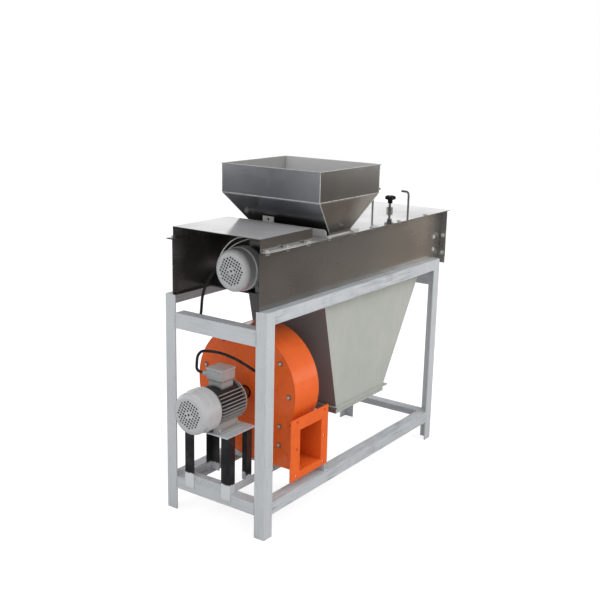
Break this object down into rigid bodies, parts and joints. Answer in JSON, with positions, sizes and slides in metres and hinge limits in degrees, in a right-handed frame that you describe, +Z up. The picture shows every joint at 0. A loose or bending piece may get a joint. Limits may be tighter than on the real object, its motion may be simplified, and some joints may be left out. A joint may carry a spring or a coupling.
{
  "type": "peanut peeling machine",
  "caption": "Frame-mounted dry peanut peeler: feed hopper over a roller and sieve, with a suction hopper and a motor-driven centrifugal blower that draws the skins away.",
  "frame": {"origin": "bottom centre of the bounding box, on the floor under the machine", "axes": "+X along the machine towards the discharge end, +Y across it away from the blower's outlet, +Z up"},
  "size_m": [1.261, 0.422, 1.114],
  "materials": {
    "frame_paint": "grey gloss paint over mill-finished angle iron",
    "stainless": "bright-rolled stainless sheet",
    "suction_paint": "pale grey-green paint on sheet steel",
    "blower_paint": "glossy orange paint",
    "motor_paint": "silver-grey paint on cast aluminium",
    "stand_paint": "dark grey paint",
    "machined_steel": "machined steel",
    "bearing_iron": "painted casting",
    "abrasive": "coarse bonded grit",
    "zinc": "zinc plate",
    "black_plastic": "moulded plastic",
    "black_cable": "smooth cable sheath",
    "white_cable": "smooth cable sheath"
  },
  "bodies": {
    "base": {"post_motor_front": "frame_paint", "post_motor_rear": "frame_paint", "post_outlet_front": "frame_paint", "post_outlet_rear": "frame_paint", "top_rail_front": "frame_paint", "top_rail_rear": "frame_paint", "low_rail_front": "frame_paint", "low_rail_rear": "frame_paint", "end_rail_motor_top": "frame_paint", "end_rail_outlet_top": "frame_paint", "end_rail_motor_low": "frame_paint", "end_rail_outlet_low": "frame_paint", "blower_base": "frame_paint", "motor_plate": "frame_paint", "side_panel_front": "stainless", "side_panel_rear": "stainless", "end_panel": "stainless", "bulkhead": "stainless", "motor_shelf": "stainless", "deck_plate": "stainless", "lid": "stainless", "motor_cover": "stainless", "bearing_plate": "stainless", "discharge_chute": "stainless", "gate_frame": "stainless", "hopper": "stainless", "sieve_trough": "stainless", "suction_hopper": "suction_paint", "suction_tray": "suction_paint", "inlet_collar": "suction_paint", "fan_scroll": "blower_paint", "fan_front_plate": "blower_paint", "roller_motor_housing": "motor_paint", "roller_motor_cowl": "motor_paint", "roller_terminal_box": "motor_paint", "blower_motor_housing": "motor_paint", "blower_motor_cowl": "motor_paint", "blower_terminal_box": "motor_paint", "stand_leg_front_near": "stand_paint", "stand_leg_front_far": "stand_paint", "stand_leg_rear_near": "stand_paint", "stand_leg_rear_far": "stand_paint", "screw_bush": "machined_steel", "bearing_motor_end": "bearing_iron", "bearing_outlet_end": "bearing_iron", "body_bolts": "zinc", "fan_bolts": "zinc", "motor_bolts": "zinc", "motor_lead": "black_cable", "motor_lead_cores": "white_cable"},
    "roller": {"roller_shell": "abrasive", "roller_shaft": "machined_steel", "coupling": "machined_steel", "roller_motor_rotor": "machined_steel"},
    "blower_wheel": {"impeller": "machined_steel", "blower_motor_rotor": "machined_steel"},
    "feed_gate": {"slide_gate": "stainless"},
    "outlet_gate": {"discharge_gate": "stainless"},
    "gate_knob": {"knob": "black_plastic", "adjusting_screw": "machined_steel"}
  },
  "joints": [
    {"name": "roller_spin", "type": "hinge", "parent": "base", "child": "roller", "pos_m": [0.1205, -0.011, 0.811], "axis": [1, 0, 0], "continuous": true},
    {"name": "blower_spin", "type": "hinge", "parent": "base", "child": "blower_wheel", "pos_m": [-0.3345, 0.014, 0.387], "axis": [1, 0, 0], "continuous": true},
    {"name": "feed_gate_slide", "type": "slide", "parent": "base", "child": "feed_gate", "axis": [-1, 0, 0], "range_m": [0, 0.06]},
    {"name": "outlet_gate_lift", "type": "slide", "parent": "base", "child": "outlet_gate", "axis": [0, 0, 1], "range_m": [0, 0.024]},
    {"name": "knob_turn", "type": "hinge", "parent": "outlet_gate", "child": "gate_knob", "pos_m": [0.4255, -0.049, 0.93], "axis": [0, 0, 1], "range_deg": [0, 6000]}
  ],
  "couplings": [
    {"joint": "knob_turn", "follows": "outlet_gate_lift", "rad_per_m": 4188.8}
  ]
}
